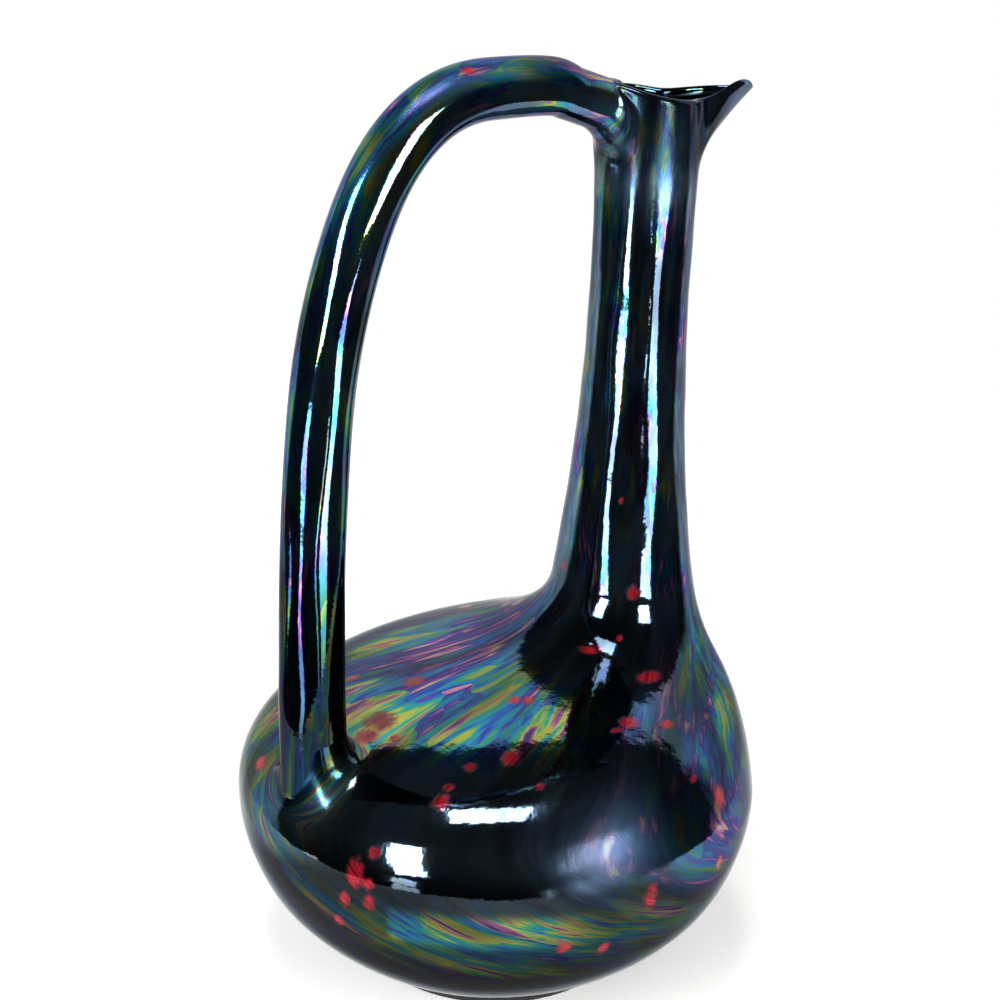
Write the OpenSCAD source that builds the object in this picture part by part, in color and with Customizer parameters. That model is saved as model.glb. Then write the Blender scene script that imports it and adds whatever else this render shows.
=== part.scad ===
// Ewer: squat round body, slender neck set far off its centre, pinched pouring lip
// and one tall solid loop handle. Clay pieces thrown, pulled and luted with slip.
// Origin at the centre of the foot on the table, +Z up, +X toward the pouring lip.
// The handle is on the -X side. All is symmetric about the XZ plane but the spout, which
// the potter pinched a few degrees to the -Y side. Sizes in mm.

/* [Body] */
// Widest diameter of the body
body_d = 150; // [110:1:200]
// Height of the widest ring above the table
belly_h = 53; // [40:1:80]
// Thickness of the thrown wall
wall = 4.5; // [3:0.1:7]
// Length over which the bowl opens out of the foot
bowl_foot_sweep = 16; // [6:1:30]
// Angle at which the bowl leaves the foot
bowl_foot_angle = 24; // [5:1:45]
// Length over which the bowl turns upright at the belly
bowl_belly_sweep = 27; // [12:1:40]

/* [Foot] */
// Outside diameter of the foot ring
foot_d = 78; // [50:1:100]
// Height of the foot ring
foot_h = 3; // [2:0.5:10]
// Radial width of the foot ring
foot_w = 7; // [4:0.5:14]
// Bevel on the edges of the foot ring
foot_bevel = 0.8; // [0.2:0.1:1.5]

/* [Shoulder] */
// Height of the shoulder above the belly, handle side
back_rise = 54; // [35:1:90]
// Fullness of the shoulder above the belly, handle side
back_fullness = 41; // [15:1:60]
// Length of the sweep from shoulder into neck, handle side
back_sweep = 32; // [10:1:50]
// Height of the shoulder above the belly, lip side
front_rise = 95; // [60:1:120]
// Fullness of the shoulder above the belly, lip side
front_fullness = 3; // [1:1:50]
// Length of the sweep from shoulder into neck, lip side
front_sweep = 40; // [10:1:60]

/* [Neck] */
// Distance of the neck's axis from the belly's edge, at the waist
neck_inset = 26.5; // [18:0.5:60]
// Outside diameter of the neck at its waist
neck_d = 28; // [22:0.5:48]
// Radius gained by the neck over 50 mm from its waist
neck_swell = 1.8; // [0.2:0.1:5]
// Outward lean of the neck in degrees
neck_lean = 1.7; // [0:0.1:8]
// Height of the neck's lower seam above the belly
neck_seam_rise = 62; // [40:1:100]
// Drop of the waist below the rim
waist_drop = 45; // [20:1:90]

/* [Lip] */
// Height of the rim above the table
rim_h = 246; // [180:1:340]
// Height of the lip piece
lip_h = 21.5; // [12:0.5:40]
// Diameter of the round part of the rim
rim_d = 36; // [26:0.5:60]
// Thickness of the rim
rim_t = 3; // [2:0.1:5]
// How late the lip flares on its way up, where 1 is a plain cone
lip_curl = 1.4; // [1:0.1:3]
// Reach of the pinched spout past the round rim
spout_reach = 15.5; // [4:0.5:30]
// Half angle over which the spout opens
spout_angle = 27; // [20:1:60]
// Lift of the spout's tip above the rim
spout_lift = 3.5; // [0:0.5:8]
// Half angle over which the tip lifts
tip_angle = 11; // [8:1:30]
// Turn of the spout off the XZ plane, seen from above
spout_turn = -11; // [-20:1:20]
// Turn of the lifted tip off the spout's middle
tip_turn = -14; // [-20:1:20]
// Angle from the spout's middle to the pinch on each side
pinch_angle = 40; // [35:1:80]
// Half angle that the pinch covers
pinch_span = 40; // [10:1:40]
// Inward squeeze of the rim at the pinch
pinch_in = 4.5; // [0:0.5:6]
// Dip of the rim at the pinch
pinch_dip = 1; // [0:0.5:6]
// Rise of the rim where the handle meets it
back_lift = 7.5; // [0:0.5:12]
// Half angle over which the rim rises to the handle
back_angle = 56; // [30:1:100]

/* [Handle] */
// Diameter of the handle along its side
handle_d = 17.2; // [12:0.1:26]
// Diameter of the handle where it meets the lip
handle_end_d = 14.5; // [10:0.5:20]
// Diameter gained where the handle meets the body
handle_foot_gain = 1; // [0:0.5:8]
// Height of the handle's foot above the belly
handle_foot_rise = 20.5; // [10:0.5:40]
// Outward lean of the handle at its foot in degrees
handle_foot_lean = 0; // [0:1:40]
// Length over which the handle keeps that lean
handle_side_sweep = 71; // [30:1:160]
// Rise of the handle's centre line above the rim, at its top
handle_top_rise = 7.5; // [2:0.5:40]
// Distance of the handle's top from the neck's axis
handle_top_back = 54; // [30:1:90]
// Length of the arch before its top
handle_arch_sweep = 54; // [20:1:80]
// Length of the arch after its top
handle_fall_sweep = 24; // [8:1:45]
// Downward slope of the handle at the lip in degrees
handle_end_slope = 20; // [0:1:50]
// Length over which the handle keeps that slope
handle_end_sweep = 6; // [4:1:30]
// Straight length of the handle off the lip
handle_end_lift = 8; // [6:0.5:16]
// Drop of the handle's upper edge below the top of the rim
handle_end_drop = 1.2; // [1.2:0.1:6]

/* [Joints] */
// Thickness of the slip between two clay pieces
slip_t = 0.6; // [0.4:0.1:1.5]
// Depth of the scored tongue on a seam
tongue_h = 1.2; // [0.5:0.1:2]
// Extra depth of the groove under a tongue
groove_gap = 0.3; // [0.1:0.05:0.35]
// Clearance between a curved clay face and what lies on it
seat_gap = 0.1; // [0.05:0.01:0.3]
// Reach of the clay coil worked round the handle's foot
foot_coil = 7; // [3:0.5:14]
// Reach of the clay coil worked round the handle's upper end
top_coil = 4; // [2:0.5:8]

/* [Hidden] */
// Sides of a ring and of the handle
ring_sides = 60;
bar_sides = 28;
round_sides = 180;
// Steps along a curve of the wall, up the neck, up the lip and along the handle's two curves
edge_steps = 22;
neck_steps = 8;
lip_steps = 10;
side_steps = 30;
fall_steps = 12;
// Rings that fill an end of the handle, steps across a coil, degrees between rings of the rim
end_rings = 5;
coil_steps = 4;
rim_turn = 36;
// Share of the handle's taper that is done at the top of its arch
top_share = 0.8;
// Share of the wall, from outside, taken by a tongue and by the groove under it
tongue_span = [0.28, 0.72];
groove_span = [0.22, 0.78];
// Least height between a seam and the ring next to it
ring_margin = 0.4;
// Length over which neck_swell is given
swell_len = 50;
// How far, and in how many halvings, a point is carried to the body or the lip that it lands on
land_reach = 60;
lip_reach = 20;
land_steps = 26;
// Height above the wall from which a coil's outline is dropped
coil_drop = 12;
// Share of the upper coil's reach that is left at the rim, and hollowness of a coil's face
coil_rim_share = 0.05;
coil_hollow = 0.25;
// Colours of the lustre glaze, of bare fired clay and of slip
glaze = "#14182c";
clay = "#b8906c";
slip = "#9a7a5e";
// Heights and places
body_r = body_d / 2;
foot_r = foot_d / 2;
base_h = foot_h + slip_t;
shoulder_h = belly_h + slip_t;
back_h = belly_h + back_rise;
front_h = belly_h + front_rise;
neck_seam_h = belly_h + neck_seam_rise;
neck_h = neck_seam_h + slip_t;
lip_seam_h = rim_h - lip_h;
lip_base_h = lip_seam_h + slip_t;
waist_h = rim_h - waist_drop;
neck_x = body_r - neck_inset;
groove_h = tongue_h + groove_gap;

// Lists and vectors
function mix(a, b, t) = a + (b - a) * t;
function unit(v) = v / norm(v);
function flip(v) = [for (i = [len(v) - 1:-1:0]) v[i]];
function joined(rows) = [for (row = rows) each row];
function every_other(v) = [for (i = [0:2:len(v) - 1]) v[i]];

// A curve with four control points, its direction, and a point beside it, positive to the left
function bez(p, t) = pow(1 - t, 3) * p[0] + 3 * t * pow(1 - t, 2) * p[1]
    + 3 * t * t * (1 - t) * p[2] + pow(t, 3) * p[3];
function bez_dir(p, t) = unit(pow(1 - t, 2) * (p[1] - p[0]) + 2 * t * (1 - t) * (p[2] - p[1])
    + t * t * (p[3] - p[2]));
function beside(p, t, off) = let (d = bez_dir(p, t)) bez(p, t) + off * [-d[1], d[0]];

// The neck: a straight leaning axis, and a radius that swells away from the waist
function neck_c(z) = neck_x + tan(neck_lean) * (z - waist_h);
function neck_r(z) = neck_d / 2 + neck_swell * pow((z - waist_h) / swell_len, 2);
function neck_slant(z, side) = tan(neck_lean) + side * 2 * neck_swell * (z - waist_h) / pow(swell_len, 2);

// Outlines in the XZ plane: the bowl, then the shoulder on the handle side and the lip side
bowl_curve = [[foot_r, base_h],
    [foot_r, base_h] + bowl_foot_sweep * [cos(bowl_foot_angle), sin(bowl_foot_angle)],
    [body_r, belly_h - bowl_belly_sweep],
    [body_r, belly_h]];
back_x = neck_c(back_h) - neck_r(back_h);
back_curve = [[-body_r, shoulder_h],
    [-body_r, shoulder_h + back_fullness],
    [back_x - neck_slant(back_h, -1) * back_sweep, back_h - back_sweep],
    [back_x, back_h]];
front_x = neck_c(front_h) + neck_r(front_h);
front_curve = [[body_r, shoulder_h],
    [body_r, shoulder_h + front_fullness],
    [front_x - neck_slant(front_h, 1) * front_sweep, front_h - front_sweep],
    [front_x, front_h]];

// One side of the vessel as pairs of height and x, moved inward by off; side is -1 at the handle
function bowl_edge(side, off) = [for (i = [0:edge_steps])
    let (p = beside(bowl_curve, i / edge_steps, off)) [p[1], side * p[0]]];
function upper_edge(curve, side, off) = [for (i = [0:2 * edge_steps])
    let (p = beside(curve, i / edge_steps / 2, side * off)) [p[1], p[0]]];
function neck_edge(from_h, side, off) = [for (i = [1:edge_steps])
    let (z = mix(from_h, rim_h, i / edge_steps)) [z, neck_c(z) + side * (neck_r(z) - off)]];
function back_edge(off) = concat(bowl_edge(-1, off), upper_edge(back_curve, -1, off),
    neck_edge(back_h, -1, off));
function front_edge(off) = concat(bowl_edge(1, off), upper_edge(front_curve, 1, off),
    neck_edge(front_h, 1, off));
back_out = back_edge(0);
front_out = front_edge(0);
back_in = back_edge(wall);
front_in = front_edge(wall);
// Centre and radius of the wall's outside and inside at a height
function out_c(z) = (lookup(z, front_out) + lookup(z, back_out)) / 2;
function out_r(z) = (lookup(z, front_out) - lookup(z, back_out)) / 2;
function in_c(z) = (lookup(z, front_in) + lookup(z, back_in)) / 2;
function in_r(z) = (lookup(z, front_in) - lookup(z, back_in)) / 2;

// A level ring part way through the wall, share 0 outside and 1 inside, lowered by drop
function wall_ring(z, share, drop = 0) = let (
    c = mix(out_c(z), in_c(z), share),
    r = mix(out_r(z), in_r(z), share))
    [for (i = [0:ring_sides - 1]) let (a = 360 * i / ring_sides) [c + r * cos(a), r * sin(a), z - drop]];
// Rings across a seam from outside to inside, with a V in its middle
function seam(z, span, depth) = [wall_ring(z, 0), wall_ring(z, span[0]), wall_ring(z, 0.5, depth),
    wall_ring(z, span[1]), wall_ring(z, 1)];
function groove(z) = seam(z, groove_span, groove_h);
function tongue(z) = seam(z, tongue_span, tongue_h);
function heights(edge, z0, z1) = [for (p = edge)
    if (p[0] > z0 + ring_margin && p[0] < z1 - ring_margin) p[0]];

// Triangles between ring a and ring b of n points each
function strip(n, a, b) = [for (j = [0:n - 1]) let (k = (j + 1) % n)
    each [[a * n + j, b * n + j, b * n + k], [a * n + j, b * n + k, a * n + k]]];
// A hollow wall: the rings run up its outside and down its inside
module ring_loft(rings) {
    n = len(rings[0]);
    m = len(rings);
    polyhedron(joined(rings), [for (i = [0:m - 1]) each strip(n, i, (i + 1) % m)]);
}
// A solid bar: rings from one end to the other, closed to a point at each end
module bar_loft(first, rings, last) {
    n = len(rings[0]);
    m = len(rings);
    sides = [for (i = [0:m - 2]) each strip(n, i, i + 1)];
    first_cap = [for (j = [0:n - 1]) [n * m, j, (j + 1) % n]];
    last_cap = [for (j = [0:n - 1]) [n * m + 1, n * (m - 1) + (j + 1) % n, n * (m - 1) + j]];
    polyhedron(concat(joined(rings), [first, last]), concat(sides, first_cap, last_cap));
}
// A stretch of thrown wall with a tongue below and a groove above
module wall_piece(z0, z1, outer, inner) {
    ring_loft(concat([for (z = outer) wall_ring(z, 0)], groove(z1),
        [for (z = flip(inner)) wall_ring(z, 1)], flip(tongue(z0))));
}
// The layer of slip in a seam
module seam_slip(z) {
    color(slip) ring_loft(concat(groove(z + slip_t), flip(tongue(z))));
}

module foot_ring() {
    color(clay) rotate_extrude($fn = round_sides) polygon([
        [foot_r - foot_w, foot_bevel], [foot_r - foot_w + foot_bevel, 0],
        [foot_r - foot_bevel, 0], [foot_r, foot_bevel],
        [foot_r, foot_h], [foot_r - foot_w, foot_h]]);
}
module foot_slip() {
    color(slip) rotate_extrude($fn = round_sides)
        translate([foot_r - foot_w, foot_h]) square([foot_w, slip_t]);
}
module lower_bowl() {
    outer = [for (i = [0:edge_steps]) bez(bowl_curve, i / edge_steps)];
    inner = [for (i = [edge_steps:-1:0]) beside(bowl_curve, i / edge_steps, wall)];
    rim = [[body_r - groove_span[0] * wall, belly_h],
        [body_r - wall / 2, belly_h - groove_h],
        [body_r - groove_span[1] * wall, belly_h]];
    floor_h = inner[edge_steps][1];
    color(glaze) rotate_extrude($fn = round_sides)
        polygon(concat([[0, base_h]], outer, rim, inner, [[0, floor_h]]));
}
module belly_slip() {
    seam_slip(belly_h);
}
module shoulder() {
    outer = every_other(heights(back_out, shoulder_h, neck_seam_h));
    inner = every_other(heights(back_in, shoulder_h, neck_seam_h));
    color(glaze) wall_piece(shoulder_h, neck_seam_h, outer, inner);
}
module neck_slip() {
    seam_slip(neck_seam_h);
}
module neck() {
    steps = [for (i = [1:neck_steps - 1]) mix(neck_h, lip_seam_h, i / neck_steps)];
    color(glaze) wall_piece(neck_h, lip_seam_h, steps, steps);
}
module lip_slip() {
    seam_slip(lip_seam_h);
}

// The lip: angle a is 180 at the handle, and the spout is turned a little from 0
function bump(a, mid, span) = exp(-pow((acos(cos(a)) - mid) / span, 2));
function spout_bump(a, mid, span) = bump(a - spout_turn, mid, span);
function rim_r(a) = rim_d / 2 + spout_reach * spout_bump(a, 0, spout_angle)
    - pinch_in * spout_bump(a, pinch_angle, pinch_span);
function rim_z(a) = rim_h + spout_lift * spout_bump(a - tip_turn, 0, tip_angle)
    + back_lift * bump(a, 180, back_angle)
    - pinch_dip * spout_bump(a, pinch_angle, pinch_span);
// Outside radius at angle a and height z: the neck's own, flaring out to the rim's
function lip_r(a, z) = let (s = max(0, min(1, (z - lip_base_h) / (rim_z(a) - lip_base_h))))
    neck_r(z) + (rim_r(a) - neck_r(rim_z(a))) * pow(s, lip_curl);
// A ring at share s of the way up, moved inward from outside by depth and raised by lift
function lip_ring(s, depth, lift = 0) = [for (i = [0:ring_sides - 1]) let (
    a = 360 * i / ring_sides,
    z = mix(lip_base_h, rim_z(a), s),
    r = lip_r(a, z) - depth)
    [neck_c(z) + r * cos(a), r * sin(a), z + lift]];
module mouth_lip() {
    outer = [for (i = [1:lip_steps - 1]) lip_ring(i / lip_steps, 0)];
    edge = [for (b = [0:rim_turn:180]) lip_ring(1, rim_t / 2 * (1 - cos(b)), rim_t / 2 * sin(b))];
    inner = [for (i = [lip_steps - 1:-1:1]) lip_ring(i / lip_steps, mix(wall, rim_t, i / lip_steps))];
    color(glaze) ring_loft(concat(outer, edge, inner, flip(tongue(lip_base_h))));
}

// How far a point lies outside the body or the lip, measured level, or from the round of the rim
function off_body(p) = norm([p[0] - out_c(p[2]), p[1]]) - out_r(p[2]);
function off_lip(p) = let (
    x = p[0] - neck_c(p[2]),
    a = atan2(p[1], x),
    off = norm([x, p[1]]) - lip_r(a, p[2]),
    rise = p[2] - rim_z(a))
    rise > 0 ? norm([max(0, off + rim_t / 2), rise]) - rim_t / 2 : off;
function off_wall(p, on_lip) = on_lip ? off_lip(p) : off_body(p);
// Where a point carried along d comes to lie gap outside the wall, by halving
function halve(p, d, gap, on_lip, lo, hi, n) = let (m = (lo + hi) / 2)
    n == 0 ? p + hi * d :
    off_wall(p + m * d, on_lip) > gap ? halve(p, d, gap, on_lip, m, hi, n - 1) :
    halve(p, d, gap, on_lip, lo, m, n - 1);
function land(p, d, gap, on_lip) = halve(p, d, gap, on_lip, 0, on_lip ? lip_reach : land_reach, land_steps);

// The handle's centre line in the XZ plane: straight off the body, two curves, straight on the lip
function in_plane(v) = [v[0], 0, v[1]];
foot_z = belly_h + handle_foot_rise;
foot_p = [lookup(foot_z, back_out), foot_z];
foot_way = [-sin(handle_foot_lean), cos(handle_foot_lean)];
foot_normal = unit([-2, lookup(foot_z + 1, back_out) - lookup(foot_z - 1, back_out)]);
foot_c = foot_p + (handle_d / 2 + foot_coil) * foot_way;
edge_z = rim_h + back_lift + rim_t / 2 - handle_end_drop;
edge_p = [neck_c(edge_z) - lip_r(180, edge_z), edge_z];
end_way = [cos(handle_end_slope), -sin(handle_end_slope)];
end_normal = [-1, 0];
end_c = edge_p - handle_end_d / 2 * [-end_way[1], end_way[0]] - handle_end_lift * end_way;
top_p = [neck_x - handle_top_back, rim_h + handle_top_rise];
side_curve = [foot_c, foot_c + handle_side_sweep * foot_way, top_p - [handle_arch_sweep, 0], top_p];
fall_curve = [top_p, top_p + [handle_fall_sweep, 0], end_c - handle_end_sweep * end_way, end_c];
// Radius along the handle, u = 0 at the foot and 1 at the lip: widest at the foot, tapering late
function handle_r(u) = mix(handle_d, handle_end_d, pow(u, 4)) / 2 + handle_foot_gain / 2 * pow(1 - u, 8);
function bar_ring(c, way, r) = [for (j = [0:bar_sides - 1]) let (a = 360 * j / bar_sides)
    in_plane(c + r * cos(a) * [way[1], -way[0]]) + [0, r * sin(a), 0]];
function curve_ring(curve, t, u) = bar_ring(bez(curve, t), bez_dir(curve, t), handle_r(u));
// A section of the bar carried onto the wall, and the rings that fill its end
function landed(c, way, r, along, gap, on_lip) = [for (p = bar_ring(c, way, r))
    land(p, in_plane(along), gap, on_lip)];
function foot_face(gap) = [for (i = [1:end_rings])
    landed(foot_c, foot_way, handle_r(0) * i / end_rings, -foot_way, gap, false)];
function foot_mid(gap) = land(in_plane(foot_c), in_plane(-foot_way), gap, false);
function end_face(gap) = [for (i = [1:end_rings])
    landed(end_c, end_way, handle_r(1) * i / end_rings, end_way, gap, true)];
function end_mid(gap) = land(in_plane(end_c), in_plane(end_way), gap, true);

module handle() {
    gap = slip_t + 2 * seat_gap;
    side = [for (i = [0:side_steps]) let (t = i / side_steps)
        curve_ring(side_curve, t, mix(0, top_share, t))];
    fall = [for (i = [1:fall_steps]) let (t = i / fall_steps)
        curve_ring(fall_curve, t, mix(top_share, 1, t))];
    rings = concat(foot_face(gap), side, fall, flip(end_face(gap)));
    color(glaze) bar_loft(foot_mid(gap), rings, end_mid(gap));
}
module handle_foot_slip() {
    top = seat_gap + slip_t;
    rings = concat(foot_face(seat_gap), flip(foot_face(top)));
    color(slip) bar_loft(foot_mid(seat_gap), rings, foot_mid(top));
}
module handle_top_slip() {
    top = seat_gap + slip_t;
    rings = concat(end_face(top), flip(end_face(seat_gap)));
    color(slip) bar_loft(end_mid(top), rings, end_mid(seat_gap));
}

// A fillet of clay round a bar's end, which leaves the wall along way: out along the wall, and up the bar
module clay_coil(c, way, r, normal, reach, on_lip) {
    gap = 2 * seat_gap;
    drop = in_plane(normal);
    last = bar_sides - 1;
    middle = land(in_plane(c), in_plane(-way), gap, on_lip);
    corner = landed(c, way, r + gap, -way, gap, on_lip);
    out = [for (p = corner) let (
        d = unit(p - middle),
        width = on_lip ? reach * mix(1, coil_rim_share, (1 + d[2]) / 2) : reach)
        land(p + width * d + coil_drop * drop, -drop, gap, on_lip)];
    seat = [for (i = [1:coil_steps - 1]) let (t = i / coil_steps) [for (j = [0:last])
        land(mix(corner[j], out[j], t) + coil_drop * drop, -drop, gap, on_lip)]];
    up = [for (j = [0:last]) corner[j] + norm(out[j] - corner[j]) * in_plane(way)];
    bend = [for (j = [0:last]) mix(corner[j], (out[j] + up[j]) / 2, coil_hollow)];
    face = [for (i = [coil_steps - 1:-1:1]) let (t = i / coil_steps) [for (j = [0:last])
        t * t * out[j] + 2 * t * (1 - t) * bend[j] + (1 - t) * (1 - t) * up[j]]];
    color(glaze) ring_loft(concat([out], face, [up, corner], seat));
}
module handle_foot_coil() {
    clay_coil(foot_c, foot_way, handle_r(0), foot_normal, foot_coil, false);
}
module handle_top_coil() {
    clay_coil(end_c, -end_way, handle_r(1), end_normal, top_coil, true);
}

foot_ring();
foot_slip();
lower_bowl();
belly_slip();
shoulder();
neck_slip();
neck();
lip_slip();
mouth_lip();
handle_foot_slip();
handle_foot_coil();
handle();
handle_top_slip();
handle_top_coil();
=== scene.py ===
import bpy
import numpy as np
from mathutils import Matrix


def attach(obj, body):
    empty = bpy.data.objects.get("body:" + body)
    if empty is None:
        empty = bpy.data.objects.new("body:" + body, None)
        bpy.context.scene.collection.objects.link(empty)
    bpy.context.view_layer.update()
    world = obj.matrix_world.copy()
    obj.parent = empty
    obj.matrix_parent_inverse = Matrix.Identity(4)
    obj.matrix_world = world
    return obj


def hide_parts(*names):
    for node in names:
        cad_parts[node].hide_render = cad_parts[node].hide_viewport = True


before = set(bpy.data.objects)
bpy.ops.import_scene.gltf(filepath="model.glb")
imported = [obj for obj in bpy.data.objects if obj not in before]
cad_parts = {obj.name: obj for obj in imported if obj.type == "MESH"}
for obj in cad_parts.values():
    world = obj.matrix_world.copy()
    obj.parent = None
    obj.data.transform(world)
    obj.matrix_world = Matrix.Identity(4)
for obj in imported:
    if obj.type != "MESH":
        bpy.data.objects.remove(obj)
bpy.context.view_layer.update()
mm = 0.001  # shapes are worked out in millimetres and stored in metres
print("frame loaded,", len(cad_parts), "nodes")


# Camera: set from the photograph's own perspective, about half a metre from the ewer
camera = dict(azimuth=-37.35, reach=541.4, height=347.3, pitchDown=21.05, roll=0.92,
              lens=75.0, sensor=36.0, frame=1000, clip=0.01)  # frame in pixels


def cameraAxes(c):
    # Forward runs back to the ewer's axis and down by the pitch; roll turns right and up about it
    a, p, r = np.radians([c["azimuth"], c["pitchDown"], c["roll"]])
    forward = np.array([-np.sin(a) * np.cos(p), np.cos(a) * np.cos(p), -np.sin(p)])
    right = np.array([np.cos(a), np.sin(a), 0.0])
    up = np.cross(right, forward)
    right, up = right * np.cos(r) + up * np.sin(r), up * np.cos(r) - right * np.sin(r)
    return right, up, forward, np.array([np.sin(a) * c["reach"], -np.cos(a) * c["reach"], c["height"]])


def aimCamera(c):
    right, up, forward, place = cameraAxes(c)
    data = bpy.data.cameras.new("photoCamera")
    data.lens = c["lens"]
    data.sensor_width = c["sensor"]
    data.clip_start = c["clip"]
    eye = bpy.data.objects.new("photoCamera", data)
    turn = Matrix(np.column_stack([right, up, -forward]).tolist()).to_4x4()
    eye.matrix_world = Matrix.Translation((mm * place).tolist()) @ turn
    bpy.context.scene.collection.objects.link(eye)
    bpy.context.scene.camera = eye


aimCamera(camera)
print("camera set")


# Small tools for shapes
def mix(a, b, t):
    return a + (b - a) * t


def smooth(lo, hi, x):
    # 0 below lo, 1 above hi, with an S curve between: 3t^2 - 2t^3
    t = np.clip((x - lo) / (hi - lo), 0, 1)
    return t * t * (3 - 2 * t)


def unit(v):
    return v / np.linalg.norm(v, axis=-1, keepdims=True)


def bezier(points, t):
    # Cubic curve: (1-t)^3 a + 3t(1-t)^2 b + 3t^2(1-t) c + t^3 d
    a, b, c, d = [np.asarray(p, float) for p in points]
    t = np.asarray(t, float)[:, None]
    return (1 - t) ** 3 * a + 3 * t * (1 - t) ** 2 * b + 3 * t * t * (1 - t) * c + t ** 3 * d


def bezierWay(points, t):
    # Unit direction of the cubic curve, from its derivative
    a, b, c, d = [np.asarray(p, float) for p in points]
    t = np.asarray(t, float)[:, None]
    return unit((1 - t) ** 2 * (b - a) + 2 * t * (1 - t) * (c - b) + t * t * (d - c))


def beside(points, t, off):
    # The curve moved to its left by off
    way = bezierWay(points, t)
    return bezier(points, t) + off * np.stack([-way[:, 1], way[:, 0]], -1)


# The thrown vessel: level rings, whose centre and radius come from a handle-side and a lip-side outline
vessel = dict(bodyD=150, bellyH=53, wall=4.5, footD=78, baseH=3.6, slip=0.6,
              bowlFootSweep=16, bowlFootAngle=24, bowlBellySweep=27,
              backRise=54, backFullness=41, backSweep=32, frontRise=95, frontFullness=3, frontSweep=40,
              neckInset=26.5, neckD=28, neckSwell=1.8, swellLength=50, neckLean=1.7,
              neckSeamRise=62, waistDrop=45, rimH=246, lipH=21.5,
              around=432, curveSteps=300, neckSteps=80,
              rings=dict(bowl=64, shoulder=120, seam=8, neck=72, lip=44, rim=15,
                         inNeck=36, inShoulder=60, inBowl=36))
v = vessel
bodyR = v["bodyD"] / 2
bellyH = v["bellyH"]
shoulderH = bellyH + v["slip"]
backH = bellyH + v["backRise"]
frontH = bellyH + v["frontRise"]
neckSeamH = bellyH + v["neckSeamRise"]
lipSeamH = v["rimH"] - v["lipH"]
lipBaseH = lipSeamH + v["slip"]
waistH = v["rimH"] - v["waistDrop"]
lean = np.tan(np.radians(v["neckLean"]))


def neckCentre(z):
    # A straight axis that leans outward
    return bodyR - v["neckInset"] + lean * (z - waistH)


def neckRadius(z):
    # Least at the waist, growing with the square of the distance from it
    return v["neckD"] / 2 + v["neckSwell"] * ((z - waistH) / v["swellLength"]) ** 2


def neckSlant(z, side):
    # Slope of the neck's outline, from the two above
    return lean + side * 2 * v["neckSwell"] * (z - waistH) / v["swellLength"] ** 2


def outlines():
    # The bowl's cubic curve, then the cubic from belly to neck on the handle side and on the lip side
    footR, a = v["footD"] / 2, np.radians(v["bowlFootAngle"])
    bowl = [(footR, v["baseH"]),
            (footR + v["bowlFootSweep"] * np.cos(a), v["baseH"] + v["bowlFootSweep"] * np.sin(a)),
            (bodyR, bellyH - v["bowlBellySweep"]), (bodyR, bellyH)]
    backX = neckCentre(backH) - neckRadius(backH)
    frontX = neckCentre(frontH) + neckRadius(frontH)
    back = [(-bodyR, shoulderH), (-bodyR, shoulderH + v["backFullness"]),
            (backX - neckSlant(backH, -1) * v["backSweep"], backH - v["backSweep"]), (backX, backH)]
    front = [(bodyR, shoulderH), (bodyR, shoulderH + v["frontFullness"]),
             (frontX - neckSlant(frontH, 1) * v["frontSweep"], frontH - v["frontSweep"]), (frontX, frontH)]
    return bowl, back, front


bowlCurve, backCurve, frontCurve = outlines()


def edgeTable(curve, side, fromH, off):
    # Heights and x of one side, all the way up, moved inward by off
    t = np.linspace(0, 1, v["curveSteps"])
    low, high = beside(bowlCurve, t, off), beside(curve, t, side * off)
    z = np.linspace(fromH, v["rimH"], v["neckSteps"])[1:]
    x = neckCentre(z) + side * (neckRadius(z) - off)
    return np.concatenate([low[:, 1], high[:, 1], z]), np.concatenate([side * low[:, 0], high[:, 0], x])


edges = {off: (edgeTable(backCurve, -1, backH, off), edgeTable(frontCurve, 1, frontH, off))
         for off in (0, v["wall"])}


def level(z, off=0):
    # Centre and radius of the ring at height z
    (backZ, backX), (frontZ, frontX) = edges[off]
    back, front = np.interp(z, backZ, backX), np.interp(z, frontZ, frontX)
    return (front + back) / 2, (front - back) / 2


def wobble(a, z):
    # Hand-thrown unevenness in mm: a few sines that turn with angle and height
    return (0.11 * np.sin(5 * a + z / 16) + 0.07 * np.sin(7 * a - z / 11 + 1.3)
            + 0.05 * np.sin(3 * a + z / 6 + 0.7) + 0.04 * np.sin(z / 3.1 + np.sin(2 * a)))


# The lip: the angle is pi at the handle, and the spout is turned a little from 0
lip = dict(rimD=36, rimT=3, curl=1.4, spoutReach=15.5, spoutAngle=27, spoutTurn=-11, spoutLift=3.5,
           tipAngle=11, tipTurn=-14, pinchAngle=40, pinchSpan=40, pinchIn=4.5, pinchDip=1,
           backLift=5, backAngle=56)


def bump(a, mid, span):
    # A bell round the angle mid, the same on both sides: exp(-((angle - mid) / span)^2)
    return np.exp(-((np.degrees(np.arccos(np.cos(a))) - mid) / span) ** 2)


def rimRadius(a):
    # A round rim, with a bell pulled out for the spout and one pressed in on each side of it
    b = a - np.radians(lip["spoutTurn"])
    return (lip["rimD"] / 2 + lip["spoutReach"] * bump(b, 0, lip["spoutAngle"])
            - lip["pinchIn"] * bump(b, lip["pinchAngle"], lip["pinchSpan"]))


def rimHeight(a):
    # Level, but for the spout's tip, the rise toward the handle and the dip at each pinch
    b = a - np.radians(lip["spoutTurn"])
    return (v["rimH"] + lip["spoutLift"] * bump(b - np.radians(lip["tipTurn"]), 0, lip["tipAngle"])
            + lip["backLift"] * bump(a, 180, lip["backAngle"])
            - lip["pinchDip"] * bump(b, lip["pinchAngle"], lip["pinchSpan"]))


def lipShare(a, z):
    # Share of the way up the lip, 0 at its seam and 1 at the rim
    return np.clip((z - lipBaseH) / (rimHeight(a) - lipBaseH), 0, 1)


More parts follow.
